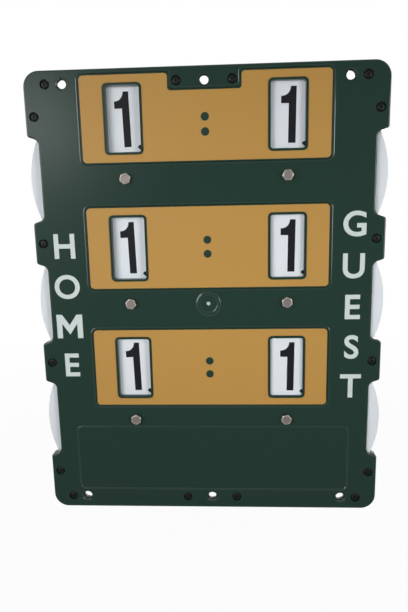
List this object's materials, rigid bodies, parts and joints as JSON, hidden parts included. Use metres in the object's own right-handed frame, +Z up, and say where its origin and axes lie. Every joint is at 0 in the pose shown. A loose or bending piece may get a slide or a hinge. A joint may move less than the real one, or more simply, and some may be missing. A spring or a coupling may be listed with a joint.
{
  "type": "tennis scoreboard",
  "caption": "Flat two-shell manual tennis scoreboard whose printed number discs turn on bolts behind windows and stick out in side notches, to be turned by finger.",
  "frame": {"origin": "centre of the flat back face, on the axis through the middle of the six fixing holes", "axes": "+X to the right seen from the front, +Z up, the front faces -Y"},
  "size_m": [0.4626, 0.0213, 0.6],
  "materials": {
    "green_moulding": "satin moulded dark green plastic",
    "ochre_panel": "satin ochre plastic sheet",
    "white_disc": "satin white plastic sheet with printed numbers",
    "bush_steel": "turned steel",
    "washer_nylon": "natural nylon",
    "zinc_steel": "dull zinc-plated steel",
    "black_screw": "black zinc, satin"
  },
  "bodies": {
    "board": {"front_cover": "green_moulding", "back_cover": "green_moulding", "score_panel_top": "ochre_panel", "score_panel_middle": "ochre_panel", "score_panel_bottom": "ochre_panel", "pivot_bush_home_top": "bush_steel", "friction_washers_home_top": "washer_nylon", "pivot_bush_home_middle": "bush_steel", "friction_washers_home_middle": "washer_nylon", "pivot_bush_home_bottom": "bush_steel", "friction_washers_home_bottom": "washer_nylon", "pivot_bush_guest_top": "bush_steel", "friction_washers_guest_top": "washer_nylon", "pivot_bush_guest_middle": "bush_steel", "friction_washers_guest_middle": "washer_nylon", "pivot_bush_guest_bottom": "bush_steel", "friction_washers_guest_bottom": "washer_nylon", "pivot_bolts": "zinc_steel", "pivot_nuts": "zinc_steel", "case_screws": "black_screw"},
    "number_disc_home_top": {"number_disc_home_top": "white_disc"},
    "number_disc_home_middle": {"number_disc_home_middle": "white_disc"},
    "number_disc_home_bottom": {"number_disc_home_bottom": "white_disc"},
    "number_disc_guest_top": {"number_disc_guest_top": "white_disc"},
    "number_disc_guest_middle": {"number_disc_guest_middle": "white_disc"},
    "number_disc_guest_bottom": {"number_disc_guest_bottom": "white_disc"}
  },
  "joints": [
    {"name": "disc_turn_home_top", "type": "hinge", "parent": "board", "child": "number_disc_home_top", "pos_m": [-0.1043, -0.0065, 0.1645], "axis": [0, 1, 0], "continuous": true},
    {"name": "disc_turn_home_middle", "type": "hinge", "parent": "board", "child": "number_disc_home_middle", "pos_m": [-0.1043, -0.008, 0], "axis": [0, 1, 0], "continuous": true},
    {"name": "disc_turn_home_bottom", "type": "hinge", "parent": "board", "child": "number_disc_home_bottom", "pos_m": [-0.1043, -0.0095, -0.1645], "axis": [0, 1, 0], "continuous": true},
    {"name": "disc_turn_guest_top", "type": "hinge", "parent": "board", "child": "number_disc_guest_top", "pos_m": [0.1043, -0.0095, 0.1645], "axis": [0, 1, 0], "continuous": true},
    {"name": "disc_turn_guest_middle", "type": "hinge", "parent": "board", "child": "number_disc_guest_middle", "pos_m": [0.1043, -0.011, 0], "axis": [0, 1, 0], "continuous": true},
    {"name": "disc_turn_guest_bottom", "type": "hinge", "parent": "board", "child": "number_disc_guest_bottom", "pos_m": [0.1043, -0.0125, -0.1645], "axis": [0, 1, 0], "continuous": true}
  ]
}
